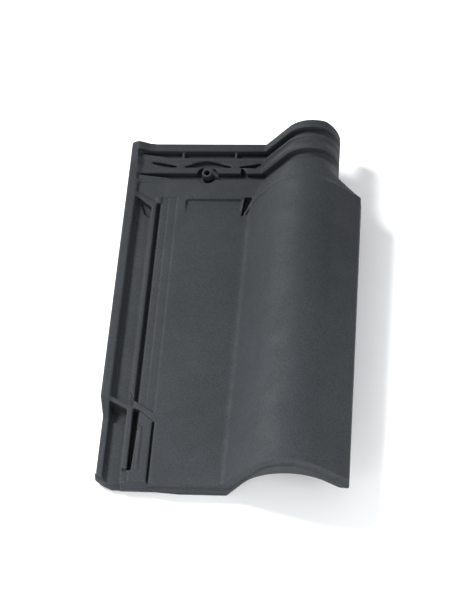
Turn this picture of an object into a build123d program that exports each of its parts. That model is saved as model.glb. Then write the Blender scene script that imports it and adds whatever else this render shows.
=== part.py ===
from build123d import *
import math
import os

# Clay roof tile, moulded in one piece.
# Built from its left side edge and its nose edge, then moved to its own frame.

# Overall
length = 460.0
width = 280.0
clay = 12.0

# Levels above the floor, with the tile lying on its nose and its lugs
pan_top = 24.0
pan_base = pan_top - clay
rim_top = 26.0
lock_base = 8.0

# Side lock: rim, channel, inner rib, groove and two flats, from the left edge
rim_w = 11.5
rim_round = 1.5
channel_left = 14.0
channel_right = 31.5
channel_floor = 17.0
rib_left = 32.5
rib_right = 37.8
rib_top = 24.0
groove_left = 38.8
groove_right = 41.5
groove_floor = 17.5
narrow_left = 43.0
narrow_floor = 22.2
score_one = 50.5
wide_floor = 22.6
lock_right = 62.4
score_w = 2.0
score_d = 1.3
base_ramp = 8.0

# Roll: a crown arc between two straight flanks
axis_from_edge = 65.0
axis_swing = 6.0
roll_top = 84.0
roll_r = 48.0
left_slope = 52.0
right_slope = 44.0
crease_r = 8.0
pan_reach = -26.0
foot_w = 11.0
foot_h = 15.56

# Collar: the lowered head of the roll, which the next tile's roll covers
collar_top = 73.0
collar_r = 38.0
collar_slope = 50.0
collar_bend = 26.0
collar_clay = 14.0
collar_inset = 28.0
collar_wall = 9.0
collar_foot = 26.0
shoulder_bulge = 3.0
shoulder_z = 37.0
crown_shift = 1.9

# Head lock, as distances from the head edge
bar_one_near = 11.0
trough_far = 12.5
trough_near = 18.5
bar_two_far = 20.0
bar_two_near = 23.0
dip = 27.0
crest = 39.0
bar_three_near = 43.0
gutter_far = 44.5
gutter_near = 50.5
lip_near = 53.5
cut_far = 71.0
cut_middle = 82.0
ramp_near = 93.0
head_start = 120.0
step_pan = 100.0
head_base = 7.0
head_floor = 15.5
bar_two_top = 22.0
head_left = 16.0
hump_start = 34.0
hump_top = 30.5

# Nose apron
face_back = 2.0
lip_depth = 14.0
parting = 11.0
arch_top = 55.7
arch_flare = 10.0
foot_rise = 1.8
arch_slope = 56.0
nose_raise = 4.0
nose_ramp = 26.0
nose_flat = 52.0
low_far = 84.0
rim_rise = 23.0
stub_far = 20.0
low_rim = 15.5
low_floor = 9.0
bar_top = 21.5
stub_top = 18.0
strip_top = 21.5
slot_floor = 18.0
pocket_floor = 8.0
under_end = 112.0
rim_inset = 3.6

# Nail boss
boss_x = 95.0
boss_from_head = 46.0
boss_r = 6.2
boss_top = 28.0
bay_r = 12.5
bay_floor = 16.0
nail_r = 3.5

# Bed for the nose of the tile above
bed_left = 73.0
bed_gap = 5.7
bed_d = 3.2

# Hanging lugs
lug_w = 34.0
lug_near = 56.0
lug_far = 34.0
lug_left = 48.0
lug_reach = 19.3


def rad(angle):
    return math.radians(angle)


def slab(points, low, high):
    """A plan outline, raised from one level to another."""
    outline = make_face(Polyline(*points, close=True))
    return Pos(0, 0, low) * extrude(outline, high - low)


def box(x0, x1, y0, y1, z0, z1):
    return Pos(x0, y0, z0) * Box(x1 - x0, y1 - y0, z1 - z0, align=(Align.MIN, Align.MIN, Align.MIN))


def along(points, y0, y1):
    """A front outline of x and z points, run along the tile."""
    outline = Plane.XZ.offset(-y1) * make_face(Polyline(*points, close=True))
    return extrude(outline, y1 - y0)


def across(points, x0, x1):
    """A side outline of y and z points, run across the tile."""
    outline = Plane.YZ.offset(x0) * make_face(Polyline(*points, close=True))
    return extrude(outline, x1 - x0)


def roll_line(axis, top, radius, left, right, foot_z, end_x):
    """Foot, left tangent, crown, right tangent and end of one line of the roll."""
    centre = top - radius
    lt = (axis - radius * math.sin(rad(left)), centre + radius * math.cos(rad(left)))
    rt = (axis + radius * math.sin(rad(right)), centre + radius * math.cos(rad(right)))
    foot = (lt[0] - (lt[1] - foot_z) / math.tan(rad(left)), foot_z)
    end = (end_x, rt[1] - (end_x - rt[0]) * math.tan(rad(right)))
    return foot, lt, (axis, top), rt, end


def lines(points):
    return [Line(a, b) for a, b in zip(points, points[1:])]


def axis_at(y):
    return width - axis_from_edge + axis_swing * y / length


def head_at(distance):
    return length - distance


def fall(angle, run):
    return run * math.tan(rad(angle))


def pan_outline():
    crease = axis_at(0) - roll_r * math.sin(rad(left_slope)) + pan_reach
    return [(0, lock_base + rim_round), (0, rim_top - rim_round), (rim_round, rim_top),
            (rim_w - rim_round, rim_top), (rim_w, rim_top - rim_round), (rim_w, pan_top),
            (crease, pan_top), (crease, pan_base), (lock_right + base_ramp, pan_base),
            (lock_right, lock_base), (rim_round, lock_base)]


def roll_outline():
    """The roll's section at the nose, running past the right edge, where it is cut."""
    axis = axis_at(0)
    top = roll_line(axis, roll_top, roll_r, left_slope, right_slope, pan_top, width + 20)
    low = roll_line(axis, roll_top - clay, roll_r - clay, left_slope, right_slope, pan_base, width + 20)
    run = crease_r * math.tan(rad(left_slope / 2))
    start = (top[0][0] - run, pan_top)
    lift = (top[0][0] + run * math.cos(rad(left_slope)), pan_top + run * math.sin(rad(left_slope)))
    middle = (start[0] + crease_r * math.sin(rad(left_slope / 2)),
              pan_top + crease_r * (1 - math.cos(rad(left_slope / 2))))
    edges = [ThreePointArc(start, middle, lift), Line(lift, top[1]), ThreePointArc(top[1], top[2], top[3])]
    edges += lines([top[3], top[4], low[4], low[3]])
    edges.append(ThreePointArc(low[3], low[2], low[1]))
    edges += lines([low[1], low[0], (start[0], pan_base), start])
    return make_face(Curve() + edges)


def head_section(distance, level, crown, radius, inset, base, side_z=shoulder_z):
    """The head's section: the pan at one level, and the roll's right side set in from the edge."""
    y = head_at(distance)
    right = width - inset
    if inset > 0:
        axis = axis_at(y)
        top = roll_line(axis, crown, radius, collar_slope, collar_bend, level, right)
        side = (right, side_z)
        chord = math.dist(top[3], side)
        middle = ((top[3][0] + right) / 2 + shoulder_bulge * (top[3][1] - side_z) / chord,
                  (top[3][1] + side_z) / 2 + shoulder_bulge * (right - top[3][0]) / chord)
        shoulder = ThreePointArc(top[3], middle, side)
        wall, foot = collar_wall, collar_foot
        under_wall = collar_top - collar_inset
    else:
        axis = axis_at(y) + crown_shift
        top = roll_line(axis, crown, radius, left_slope, right_slope, level, right)
        side = top[4]
        shoulder = Line(top[3], side)
        wall, foot = foot_w, foot_base
        under_wall = side[1] - 5
    low = roll_line(axis, collar_top - collar_clay, collar_r - collar_clay, collar_slope, right_slope,
                    base, right - wall)
    edges = lines([(0, rim_top - rim_round), (rim_round, rim_top), (rim_w - rim_round, rim_top),
                   (head_left, level), top[0], top[1]])
    edges += [ThreePointArc(top[1], top[2], top[3]), shoulder]
    edges += lines([side, (right, foot), (right - wall, foot), (right - wall, under_wall), low[3]])
    edges.append(ThreePointArc(low[3], low[2], low[1]))
    edges += lines([low[1], low[0], (lock_right + base_ramp, base), (lock_right, base),
                    (rim_round, base), (0, base + rim_round), (0, rim_top - rim_round)])
    return Plane.XZ.offset(-y) * make_face(Curve() + edges)


def lip_outline():
    """The nose from the front: a ledge below the face above it, with the arch under the roll."""
    axis = axis_at(0)
    top = roll_line(axis, roll_top - parting, roll_r - parting, left_slope, right_slope,
                    pan_top - parting, width)
    low = roll_line(axis, arch_top, roll_r + arch_flare, arch_slope, right_slope, 0, width - foot_w)
    edges = lines([(0, nose_raise), (0, pan_top - parting), top[0], top[1]])
    edges.append(ThreePointArc(top[1], top[2], top[3]))
    edges += lines([top[3], top[4], (width, foot_base), (width - foot_w, foot_base + foot_rise), low[3]])
    edges.append(ThreePointArc(low[3], low[2], low[1]))
    flat = low[0][0] - nose_flat
    edges += lines([low[1], low[0], (flat, 0), (flat - nose_ramp, nose_raise), (0, nose_raise)])
    return make_face(Curve() + edges)


# Pan and roll, the roll swinging a little toward the right edge on its way to the head
pan = along(pan_outline(), face_back, length)
swing = math.degrees(math.atan(axis_swing / length))
roll = extrude(Plane.XZ.offset(20) * roll_outline(), -(length + 40))
roll = Pos(axis_at(0), 0, 0) * Rot(0, 0, -swing) * Pos(-axis_at(0), 0, 0) * roll
roll = roll & box(-5, width, face_back, length, -5, 120)
flank_end = roll_line(axis_at(0), roll_top, roll_r, left_slope, right_slope, pan_top, width)[4][1]
foot_base = flank_end - foot_h
foot = along([(width - foot_w, foot_base), (width, foot_base), (width, flank_end - 6),
              (width - foot_w, flank_end - 6 + fall(right_slope, foot_w))], face_back, length)
body = pan + roll + foot

# Head, with its bars and troughs running over pan and roll alike
stations = [
    (head_start, pan_top, roll_top - 1.2, roll_r - 5, 0, pan_base),
    (ramp_near, pan_top, roll_top - 1.2, roll_r - 5, 0, pan_base),
    (cut_middle, pan_top, collar_top + 7, collar_r + 4, collar_inset / 2, pan_base, shoulder_z + 10),
    (cut_far, pan_top, collar_top + 4, collar_r + 3, collar_inset, pan_base, shoulder_z + 14),
    (lip_near, pan_top, collar_top - 2, collar_r - 2, collar_inset, pan_base),
    (gutter_near, head_floor, collar_top - 7, collar_r - 7, collar_inset, head_base),
    (gutter_far, head_floor, collar_top - 7, collar_r - 7, collar_inset, head_base),
    (bar_three_near, bar_two_top + 0.5, collar_top + 0.5, collar_r + 0.5, collar_inset, head_base),
    (crest, bar_two_top + 1.5, collar_top + 2, collar_r + 2, collar_inset, head_base),
    (dip, bar_two_top - 1.5, collar_top - 3.5, collar_r - 3.5, collar_inset, head_base),
    (bar_two_near, bar_two_top, collar_top - 1, collar_r - 1, collar_inset, head_base),
    (bar_two_far, bar_two_top, collar_top - 2, collar_r - 2, collar_inset, head_base),
    (trough_near, head_floor, collar_top - 8, collar_r - 8, collar_inset, head_base),
    (trough_far, head_floor, collar_top - 8, collar_r - 8, collar_inset, head_base),
    (bar_one_near, pan_top, collar_top, collar_r, collar_inset, head_base),
    (2, pan_top, collar_top - 0.5, collar_r - 0.5, collar_inset, head_base),
    (0, pan_top - 0.5, collar_top - 1, collar_r - 1, collar_inset, head_base),
]
head = loft([head_section(*station) for station in stations], ruled=True)

# The body ends at the step, which swings toward the nose at the crease
crease = roll_line(axis_at(0), roll_top, roll_r, left_slope, right_slope, pan_top, width)[0][0]
step = [(-5, head_at(step_pan)), (crease, head_at(102)), (crease + 7, head_at(90)),
        (crease + 17, head_at(86)), (crease + 35, head_at(86)), (crease + 55, head_at(89)),
        (crease + 70, head_at(93)), (width + 5, head_at(93)), (width + 5, length + 5), (-5, length + 5)]
lock_under = along([(0, lock_base + rim_round), (0, pan_base + 2), (lock_right + base_ramp, pan_base + 2),
                    (lock_right + base_ramp, pan_base), (lock_right, lock_base), (rim_round, lock_base)],
                   head_at(step_pan) - 1, head_at(lip_near) + 1)
tile = (body - slab(step, -5, 120)) + head + lock_under

# Hanging lip under the nose, proud of the face above it, and a thicker base under the second channel
tile += extrude(Plane.XZ * lip_outline(), -lip_depth)
tile += across([(1, nose_raise), (under_end, nose_raise), (under_end + 4, lock_base + 1), (1, lock_base + 1)],
               0, lock_right)

# Side lock behind the diagonal bars
bar_far = head_at(88)
bar_low = head_at(71)
flats_far = head_at(79)
channel = along([(rim_w, 60), (rim_w, rim_top - rim_round), (channel_left, channel_floor),
                 (channel_right, channel_floor), (rib_left, rib_top), (rib_left, 60)], 60, head_at(60))
channel = channel & slab([(rim_w, bar_low - 6), (channel_right + 1, bar_far - 6),
                          (channel_right + 1, 97), (rim_w, 109)], -5, 80)
groove = along([(rib_right, 60), (rib_right, rib_top), (groove_left, groove_floor),
                (groove_right, groove_floor), (narrow_left, narrow_floor), (narrow_left, 60)], 60, bar_far)
groove = groove & slab([(rib_right, bar_far), (narrow_left, bar_far), (narrow_left, 100),
                        (rib_right, 104)], -5, 80)
rib_end = slab([(rib_left - 2, 119), (rib_right + 1, 103), (rib_right + 1, 95), (rib_left - 2, 100)],
               channel_floor + 1, 80)
flats = along([(narrow_left, 60), (narrow_left, narrow_floor), (score_one, narrow_floor),
               (score_one + score_w / 2, narrow_floor - score_d), (score_one + score_w, wide_floor),
               (lock_right - score_w, wide_floor), (lock_right - score_w / 2, wide_floor - score_d),
               (lock_right, pan_top), (lock_right, 60)], 60, flats_far)
flats = flats & slab([(narrow_left, flats_far), (lock_right, flats_far), (lock_right, 87.5),
                      (narrow_left, 100.5)], -5, 80)
web_pocket = slab([(17, head_at(81)), (31, head_at(93)), (31, head_at(105)), (24, head_at(100))],
                  channel_floor - 3, 30)
tile -= channel + groove + rib_end + flats + web_pocket

# The corner between rim, head lock and first diagonal bar lies a little below the pan
corner = slab([(head_left, head_at(57)), (lock_right, head_at(57)), (lock_right, flats_far),
               (rib_right, flats_far), (rib_right, bar_far), (rim_w + 1, bar_low), (rim_w + 1, head_at(60))],
              -5, 40)
tile -= corner & along([(rim_w, 40), (rim_w, pan_top - 1.5), (rib_right, pan_top - 1.2),
                        (lock_right, pan_top), (lock_right, 40)], head_at(90), head_at(50))

# Nose end of the side lock: a low rim, a second channel and a second pair of diagonal bars
rim_drop = across([(-1, low_rim), (low_far, low_rim), (low_far + rim_rise, rim_top),
                   (low_far + rim_rise, 60), (-1, 60)], -1, rim_w)
rim_trim = slab([(-1, -1), (-1, 109), (0, 109), (rim_inset, 88), (rim_inset, 20), (-1, 20)],
                -5, 60)
rim_trim += slab([(-1, -1), (-1, 26), (rim_inset, 26), (rim_inset, 17), (19, 4), (19, -1)],
                 nose_raise + 4.5, 60)
second = along([(10.4, 60), (10.4, low_rim), (12.5, low_floor), (30.5, low_floor), (31.5, bar_top),
                (31.5, 60)], -1, 110)
second = second & slab([(10, -1), (10, 103), (rim_w, 103), (31.5, 92), (31.5, -1)], -5, 60)
second += slab([(rim_w + 0.5, 102.5), (31, 91.7), (31, 82), (17, 82)], pocket_floor, 60)
bar_cut = across([(stub_far, bar_top), (low_far - 24, bar_top), (low_far + 1, pan_top), (low_far + 1, 60),
                  (stub_far, 60)], 31.5, 38.2)
bar_cut += box(31.5, 38.2, -1, stub_far, stub_top, 60) + box(38, 39.4, 2.5, 16, low_floor + 4, 60)
second_groove = along([(38, 60), (38, low_floor + 2), (41, low_floor + 3), (46, strip_top), (46, 60)], 17, 95)
second_groove = second_groove & slab([(38, 94), (45.5, 91), (44, 50), (42.5, 18), (38, 18)], 0, 70)
hook = slab([(45.5, 74), (48, 70), (49.5, 71), (49.6, 19), (48, 19), (47.5, 68), (45, 71)],
            strip_top, strip_top + 1)
strip = slab([(38, -1), (38, 89), (45.5, 91.5), (62, 78), (62, -1)], strip_top, 60) - hook
slot = slab([(60.8, -1), (60.8, 78.5), (63.6, 76.5), (63.6, -1)], slot_floor, 60)
front_slope = across([(-1, nose_raise), (0, nose_raise), (7, low_floor + 0.4), (7, 60), (-1, 60)], -1, 31.5)
front_slope += across([(-1, 10), (1, 10), (5, strip_top + 0.2), (5, 60), (-1, 60)], 31.5, 61.5)
tile -= rim_drop + rim_trim + second + bar_cut + second_groove + strip + slot + front_slope
tile -= slab([(-1, -1), (23, -1), (23, 0), (9, 7), (2, 12.5), (1, 20), (-1, 26)], -5, 60)

# Head lock: pockets between the second and third bars, a notch, and the webs in the far trough
pocket_a = slab([(18, head_at(24)), (40, head_at(27)), (57, head_at(31)), (57, head_at(34)),
                 (44, head_at(34))], head_floor, 40)
pocket_b = slab([(66, head_at(34)), (66, head_at(32)), (80, head_at(26)), (92, head_at(24)),
                 (104, head_at(26)), (123, head_at(32)), (123, head_at(34))], head_floor, 40)
pocket_c = slab([(crease - 12, head_at(34)), (crease - 12, head_at(32)), (crease + 17, head_at(26)),
                 (crease + 7, head_at(35))], head_floor, 40)
notch = slab([(crease - 9.5, head_at(33)), (crease - 2.5, head_at(43)), (crease - 6, head_at(52)),
              (crease - 9.5, head_at(52))], head_floor, 40)
tile -= pocket_a + pocket_b + pocket_c + notch
for x in (62, crease - 19):
    tile += box(x, x + 3, head_at(trough_near + 0.5), head_at(bar_one_near + 0.5),
                head_floor - 1, pan_top - 3)

# Toward the rim the trough and the gutter run out in a slant, and the rim rises to a hump
tile += slab([(rim_w, head_at(21)), (42, head_at(21)), (42, head_at(trough_near)),
              (rim_w, head_at(trough_far + 1))], head_floor - 1, bar_two_top)
tile += slab([(rim_w, head_at(54)), (50, head_at(54)), (50, head_at(gutter_near)), (17, head_at(46)),
              (rim_w, head_at(45))], head_floor - 1, pan_top - 1)
hump = [Plane.XZ.offset(-head_at(hump_start)) * make_face(Polyline(
            (0, 20), (0, rim_top - rim_round), (rim_round, rim_top), (rim_w - rim_round, rim_top),
            (rim_w, 20), close=True)),
        Plane.XZ.offset(-length) * make_face(Polyline(
            (0, 20), (0, rim_top - 1), (rim_round, rim_top + 1.5), (rim_w - 3, hump_top), (rim_w, 20),
            close=True))]
tile += loft(hump, ruled=True)
tile += along([(rim_w - 3, 20), (rim_w - 3, hump_top), (15, hump_top - 2), (22, pan_top + 1.2),
               (30, pan_top - 0.2), (30, 20)], head_at(bar_one_near), length)

# Nail boss in its bay, with the nail hole right through
boss_y = head_at(boss_from_head)
upright = (Align.CENTER, Align.CENTER, Align.MIN)
tile -= Pos(boss_x, boss_y, bay_floor) * Cylinder(bay_r, 30, align=upright)
tile += Pos(boss_x, boss_y, head_base + 3) * Cone(boss_r + 1, boss_r, boss_top - head_base - 3, align=upright)
tile -= Pos(boss_x, boss_y, -5) * Cylinder(nail_r, 60, align=upright)

# Wedge-shaped bed for the nose of the tile above, and the dimple at its right end
bed = across([(head_at(104), pan_top), (head_at(84), pan_top - bed_d), (head_at(82), pan_top),
              (head_at(82), 40), (head_at(104), 40)], bed_left, crease - bed_gap)
ridge = across([(head_at(83), pan_top - 0.5), (head_at(81), pan_top + 1), (head_at(75), pan_top - 0.5)],
               bed_left, crease - bed_gap)
dimple = slab([(crease - 2, head_at(79)), (crease + 7, head_at(79)), (crease - 3, head_at(106)),
               (crease - 5, head_at(106))], pan_top - 7, 36)
tile = tile + ridge - bed - dimple

# Two lugs under the head, which hang on the batten
for x in (lug_left, crease + lug_reach - lug_w):
    tile += box(x, x + lug_w, head_at(lug_near), head_at(lug_far), 0, pan_base + 1)

# Own frame: origin on the floor under the middle of the tile, nose toward -Y
tile = Pos(-width / 2, -length / 2, 0) * tile
print("solids", len(tile.solids()), "volume", round(tile.volume))
os.makedirs("parts", exist_ok=True)
export_step(tile, "parts/roof_tile.step")
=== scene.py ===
# %% [markdown]
# # A clay roof tile
#
# The tile is one piece of fired clay. It was pressed wet between two plaster moulds, dried,
# dipped in a dark slip and fired, so it has one colour all over, no joints and no sharp edges.
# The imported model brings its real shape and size. This lesson softens that shape as wet clay
# softens, gives it the matt slate finish, and lights it like a catalogue picture.

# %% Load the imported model
import math

import bpy
from mathutils import Euler, Matrix, Vector


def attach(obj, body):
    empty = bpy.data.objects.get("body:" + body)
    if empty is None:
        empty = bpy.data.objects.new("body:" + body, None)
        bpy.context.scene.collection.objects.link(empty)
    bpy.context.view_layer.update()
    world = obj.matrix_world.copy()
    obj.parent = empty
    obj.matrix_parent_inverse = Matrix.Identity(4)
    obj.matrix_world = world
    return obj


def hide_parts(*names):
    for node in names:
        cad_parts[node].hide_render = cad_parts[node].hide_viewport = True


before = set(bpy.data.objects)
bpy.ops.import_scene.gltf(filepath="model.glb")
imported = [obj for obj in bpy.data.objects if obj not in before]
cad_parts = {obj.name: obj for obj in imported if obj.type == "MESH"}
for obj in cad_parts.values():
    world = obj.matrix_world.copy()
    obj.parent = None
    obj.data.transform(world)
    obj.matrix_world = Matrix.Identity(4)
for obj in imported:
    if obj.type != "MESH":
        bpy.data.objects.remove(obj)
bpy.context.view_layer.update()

# %% [markdown]
# ## The camera
#
# The picture looks down on the tile from in front of its nose and a little to its right, through
# a long lens, with the camera turned a few degrees on its own axis. A camera's turn can be typed
# as three angles, but a turn about its own line of sight is easier to add as one more rotation.

# %% Place the camera
view_azimuth = math.radians(11.65)
view_elevation = math.radians(56.85)
view_roll = math.radians(9.0)

camera_data = bpy.data.cameras.new("camera")
camera_data.lens = 109.06
camera_data.sensor_width = 36.0
camera = bpy.data.objects.new("camera", camera_data)
bpy.context.collection.objects.link(camera)
look = Euler((math.pi / 2 - view_elevation, 0.0, view_azimuth)).to_matrix()
look = look @ Matrix.Rotation(-view_roll, 3, "Z")
camera.location = (0.2342, -1.1199, 1.7767)
camera.rotation_euler = look.to_euler()
bpy.context.scene.camera = camera
print("camera at", [round(v, 3) for v in camera.location])

# %% [markdown]
# ## Helpers for choosing and finishing
#
# An operator works on whatever is selected, and the loaded model arrives selected. So each step
# first clears the selection and picks its own object. A modifier is added, set and applied in
# one go, so that the piece ends as a plain mesh.

# %% Select one object, and apply one modifier
def pick(piece):
    bpy.ops.object.select_all(action="DESELECT")
    piece.select_set(True)
    bpy.context.view_layer.objects.active = piece


def apply_modifier(piece, kind, **settings):
    pick(piece)
    modifier = piece.modifiers.new(kind.lower(), kind)
    for setting, value in settings.items():
        setattr(modifier, setting, value)
    bpy.ops.object.modifier_apply(modifier=modifier.name)
    print(kind.lower(), "leaves", len(piece.data.polygons), "faces")


# %% [markdown]
# ## The moulded body
#
# Wet clay never fills a mould's corners: every rib, lip and pocket of the real tile has an edge
# rounded by a millimetre or so, and that round edge is what catches the light. Bevels on this
# many crossing ribs would tangle. A fine voxel remesh turns the whole body into one even skin,
# and a few rounds of smoothing then draw its corners in, in the way that drying clay does.

# %% Copy the body and join its loose faces
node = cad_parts["roof_tile"]
body = bpy.data.objects.new("moulded_body", node.data.copy())
bpy.context.collection.objects.link(body)
pick(body)
bpy.ops.object.mode_set(mode="EDIT")
bpy.ops.mesh.select_all(action="SELECT")
bpy.ops.mesh.remove_doubles(threshold=0.00001)
bpy.ops.object.mode_set(mode="OBJECT")
print("moulded body starts with", len(body.data.vertices), "points")

# %% Give it an even skin and soft edges
skin_step = 0.0009
drying_passes = 4
apply_modifier(body, "REMESH", mode="VOXEL", voxel_size=skin_step)
apply_modifier(body, "SMOOTH", factor=0.5, iterations=drying_passes)

# %% [markdown]
# ## The long curves
#
# A drafting tool hands over a curve as narrow flat strips. On the roll they would show as bands
# of light, where the real roll was wiped smooth with a wet strap. More smoothing would lose the
# ribs, so it is kept to the points of the roll: a vertex group holds them, and the smoothing
# reads that group. On top the strap also wipes the bend at the roll's foot and the crown's fall
# toward the collar, but it stops short of the step on the left flank and of the corner on the
# right, which stay crisp. The hollow underneath is wiped as well.

# %% Choose the points that the strap wipes
facing = 0.3
step_ahead = 0.122
crown_from = 0.055
corner_ahead = 0.125


def on_top(place, normal):
    far_end = step_ahead if place.x < crown_from else 0.166
    right_end = 0.134 if place.y < corner_ahead else 0.105
    wiped = 0.0 < place.x < right_end and -0.212 < place.y < far_end and place.z > 0.0238
    return wiped and normal.z > facing


def in_hollow(place, normal):
    wiped = 0.02 < place.x < 0.12 and -0.205 < place.y < 0.215 and place.z > 0.020
    return wiped and normal.z < -facing


roll_points = [v.index for v in body.data.vertices if on_top(v.co, v.normal) or in_hollow(v.co, v.normal)]
print("the strap wipes", len(roll_points), "points")

# %% Wipe the roll smooth
strap_passes = 50
roll_group = body.vertex_groups.new(name="roll")
roll_group.add(roll_points, 1.0, "REPLACE")
apply_modifier(body, "SMOOTH", factor=0.5, iterations=strap_passes, vertex_group="roll")

# %% [markdown]
# ## The bead at the step
#
# Where the roll's foot meets the lowered head, the mould's edge threw up a thin bead, which
# catches the light and fades toward the crown. It follows a line drawn in plan: each point near
# that line gets a weight by its distance, and a displacement lifts it by that weight.

# %% Measure a point's distance from the step
step_line = [(0.0047, 0.127), (0.0117, 0.1385), (0.0217, 0.1425), (0.0397, 0.1425), (0.060, 0.1395)]


def line_distance(place):
    """Distance in plan from the step's line, and how far along it, from 0 to 1."""
    nearest, along = 1.0, 0.0
    for number, (start, end) in enumerate(zip(step_line, step_line[1:])):
        run_x, run_y = end[0] - start[0], end[1] - start[1]
        from_x, from_y = place.x - start[0], place.y - start[1]
        share = (from_x * run_x + from_y * run_y) / (run_x ** 2 + run_y ** 2)
        share = min(1.0, max(0.0, share))
        gap = math.hypot(from_x - share * run_x, from_y - share * run_y)
        if gap < nearest:
            nearest, along = gap, (number + share) / (len(step_line) - 1)
    return nearest, along


print("the step's line has", len(step_line), "points")

# %% Raise the bead
bead_reach = 0.0020
bead_height = 0.0019
bead = body.vertex_groups.new(name="step_bead")
for point in body.data.vertices:
    place = point.co
    if point.normal.z > 0.2 and place.z > 0.02 and 0.0 < place.x < 0.065 and 0.12 < place.y < 0.148:
        gap, along = line_distance(place)
        if gap < bead_reach:
            bead.add([point.index], (1.0 - (gap / bead_reach) ** 2) * (1.0 - along ** 2), "REPLACE")
apply_modifier(body, "DISPLACE", strength=bead_height, mid_level=0.0, vertex_group="step_bead")

# %% [markdown]
# ## The pressed surface
#
# The faces of a pressed tile are never quite flat: the plaster wears, and the clay shrinks a
# little unevenly as it dries. It shows as a faint unevenness in the sheen. A bump in the
# material could fake it, but moving the skin itself by a tenth of a millimetre also holds from
# the side. After that the skin has far more faces than its flat parts need, and a collapse
# keeps them only where the shape turns.

# %% Roughen the skin a little
wave = bpy.data.textures.new("drying_unevenness", "CLOUDS")
wave.noise_scale = 0.05
wave.noise_depth = 2
unevenness = 0.0001
apply_modifier(body, "DISPLACE", texture=wave, texture_coords="LOCAL", strength=unevenness, mid_level=0.5)

# %% Thin its faces and shade it smooth
most_faces = 190000
triangles = 2 * len(body.data.polygons)
apply_modifier(body, "DECIMATE", ratio=min(1.0, most_faces / triangles))
pick(body)
bpy.ops.object.shade_smooth()
apply_modifier(body, "WEIGHTED_NORMAL", weight=60)

# %% [markdown]
# ## The slate finish
#
# The dark slip is a thin matt skin of fine clay and metal oxide. It is a very dark blue grey,
# a little uneven where it ran thick or thin, with a sandy grain. Painted light is laid over it:
# a painted highlight along the edges, painted shade in the hollows, and a painted light falloff
# that makes it lighter toward the nose and darker toward the head. One material carries this in
# layers, each mixed over the last. All of it reads the tile's own coordinates and shape, so that
# it stays on the clay when the camera moves.

# %% Small helpers for building the material
def add_node(tree, kind, **settings):
    made = tree.nodes.new(kind)
    for setting, value in settings.items():
        if setting in made.inputs:
            made.inputs[setting].default_value = value
        else:
            setattr(made, setting, value)
    return made


def grain(tree, place, scale, detail):
    made = add_node(tree, "ShaderNodeTexNoise", Scale=scale, Detail=detail, Roughness=0.55)
    tree.links.new(place.outputs["Object"], made.inputs["Vector"])
    return made.outputs["Fac"]


def grey(level):
    return level, level, level


def ramp(tree, source, stops):
    made = add_node(tree, "ShaderNodeValToRGB")
    for element, (position, colour) in zip(made.color_ramp.elements, stops):
        element.position = position
        element.color = (*colour, 1.0)
    tree.links.new(source, made.inputs["Fac"])
    return made.outputs["Color"]


def mixed(tree, kind, amount, first, second):
    made = add_node(tree, "ShaderNodeMix", data_type="RGBA", blend_type=kind)
    for socket, value in ((0, amount), (6, first), (7, second)):
        if isinstance(value, bpy.types.NodeSocket):
            tree.links.new(value, made.inputs[socket])
        else:
            made.inputs[socket].default_value = value
    return made.outputs[2]


slate = bpy.data.materials.new("slate_slip")
slate.use_nodes = True
tree = slate.node_tree
shader = tree.nodes["Principled BSDF"]
place = add_node(tree, "ShaderNodeTexCoord")
print("slate finish starts with", len(tree.nodes), "nodes")

# %% Lay the slip's colour: mottle and speckle
thick_slip = (0.0180, 0.0208, 0.0238)
thin_slip = (0.0240, 0.0274, 0.0308)
mottle = ramp(tree, grain(tree, place, 9.0, 4.0), [(0.3, thick_slip), (0.7, thin_slip)])
speckle = ramp(tree, grain(tree, place, 800.0, 3.0), [(0.35, grey(0.72)), (0.65, grey(1.28))])
base_colour = mixed(tree, "MULTIPLY", 1.0, mottle, speckle)
print("mottle from", thick_slip, "to", thin_slip)

# %% Paint a highlight on the edges
# Painted highlight: the Pointiness mask lightens every rounded edge toward pale grey, as if light caught
# it.
painted_edge_highlight = (0.055, 0.06, 0.065, 1.0)
surface = add_node(tree, "ShaderNodeNewGeometry")
edges = ramp(tree, surface.outputs["Pointiness"], [(0.51, grey(0.0)), (0.6, grey(0.5))])
base_colour = mixed(tree, "MIX", edges, base_colour, painted_edge_highlight)
print("edges rubbed to", painted_edge_highlight[:3])

# %% Paint shade in the hollows, and a light falloff along the length
# Painted shade: the occlusion mask darkens the colour within this reach of a wall, in grooves and
# corners.
hollow_reach = 0.012
hollow = add_node(tree, "ShaderNodeAmbientOcclusion", samples=8, Distance=hollow_reach)
painted_hollow_shade = ramp(tree, hollow.outputs["AO"], [(0.25, grey(0.5)), (0.85, grey(1.0))])
base_colour = mixed(tree, "MULTIPLY", 1.0, base_colour, painted_hollow_shade)

# Painted light: a gradient along the length makes the colour lighter toward the nose and darker toward
# the head.
half_length = 0.23
lengthwise = add_node(tree, "ShaderNodeSeparateXYZ")
tree.links.new(place.outputs["Object"], lengthwise.inputs["Vector"])
nose_to_head = add_node(tree, "ShaderNodeMapRange")
nose_to_head.inputs["From Min"].default_value = -half_length
nose_to_head.inputs["From Max"].default_value = half_length
tree.links.new(lengthwise.outputs["Y"], nose_to_head.inputs["Value"])
painted_light_falloff = ramp(tree, nose_to_head.outputs["Result"], [(0.0, grey(1.25)), (1.0, grey(0.78))])
base_colour = mixed(tree, "MULTIPLY", 1.0, base_colour, painted_light_falloff)
tree.links.new(base_colour, shader.inputs["Base Color"])
# The reach printed here is that of the painted shade in the hollows.
print("slip pools within", hollow_reach, "m of a wall")

# %% Give it a matt sheen and a sandy grain
sheen = ramp(tree, grain(tree, place, 40.0, 3.0), [(0.3, grey(0.66)), (0.7, grey(0.78))])
tree.links.new(sheen, shader.inputs["Roughness"])
shader.inputs["Specular IOR Level"].default_value = 0.22

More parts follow.
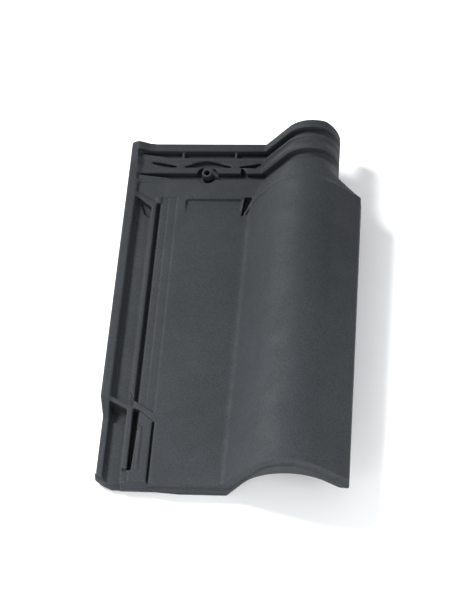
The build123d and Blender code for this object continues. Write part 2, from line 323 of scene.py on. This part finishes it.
sand = add_node(tree, "ShaderNodeBump", Strength=0.25, Distance=0.0002)
tree.links.new(grain(tree, place, 700.0, 3.0), sand.inputs["Height"])
tree.links.new(sand.outputs["Normal"], shader.inputs["Normal"])
print("slate finish has", len(tree.nodes), "nodes")

# %% Put the finish on the body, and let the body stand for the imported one
body.data.materials.clear()
body.data.materials.append(slate)
for number in range(len(node.data.materials)):
    node.data.materials[number] = slate
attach(body, "root")
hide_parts("roof_tile")
print(body.name, "has", len(body.data.polygons), "faces")

# %% [markdown]
# ## Floor and light
#
# The catalogue picture is taken on white paper with one large soft lamp at the upper left and
# pale surroundings, so the paper burns out to white and only a soft shadow stays to the right
# and in front of the nose. The floor is a plain pale sheet, a hair below the tile so that the
# two never flicker. The lamps are area lamps, since the size of an area lamp sets how soft its
# shadow is: a main one, a wide weak one that opens the shadow side, and a small one for the nose.

# %% Lay the floor
bpy.ops.object.select_all(action="DESELECT")
bpy.ops.mesh.primitive_plane_add(size=12.0, location=(0.0, 0.0, -0.0002))
paper = bpy.context.object
paper.name = "white_paper"
paper_finish = bpy.data.materials.new("white_paper")
paper_finish.use_nodes = True
paper_shader = paper_finish.node_tree.nodes["Principled BSDF"]
paper_shader.inputs["Base Color"].default_value = (0.9, 0.9, 0.9, 1.0)
paper_shader.inputs["Roughness"].default_value = 0.8
paper.data.materials.append(paper_finish)
print("paper is", paper.dimensions.x, "m wide")

# %% Hang the lamps
def lamp(name, location, target, size, power):
    data = bpy.data.lights.new(name, "AREA")
    data.shape = "DISK"
    data.size = size
    data.energy = power
    made = bpy.data.objects.new(name, data)
    bpy.context.collection.objects.link(made)
    made.location = location
    made.rotation_euler = (Vector(target) - made.location).to_track_quat("-Z", "Y").to_euler()
    print(name, "gives", power, "W")


lamp("main_lamp", location=(-1.8, 1.0, 1.9), target=(0.0, 0.0, 0.0), size=0.9, power=125.0)
lamp("side_lamp", location=(2.2, -1.4, 1.2), target=(0.0, 0.0, 0.0), size=1.6, power=60.0)
lamp("nose_lamp", location=(-0.3, -0.9, 0.5), target=(0.0, -0.25, 0.0), size=0.5, power=4.0)

# %% Light the surroundings
surroundings = bpy.data.worlds.new("surroundings")
surroundings.use_nodes = True
sky = surroundings.node_tree.nodes["Background"]
sky.inputs["Color"].default_value = (0.95, 0.97, 1.0, 1.0)
sky.inputs["Strength"].default_value = 0.55
bpy.context.scene.world = surroundings
bpy.context.scene.view_settings.view_transform = "Standard"
print("surroundings at strength", round(sky.inputs["Strength"].default_value, 2))
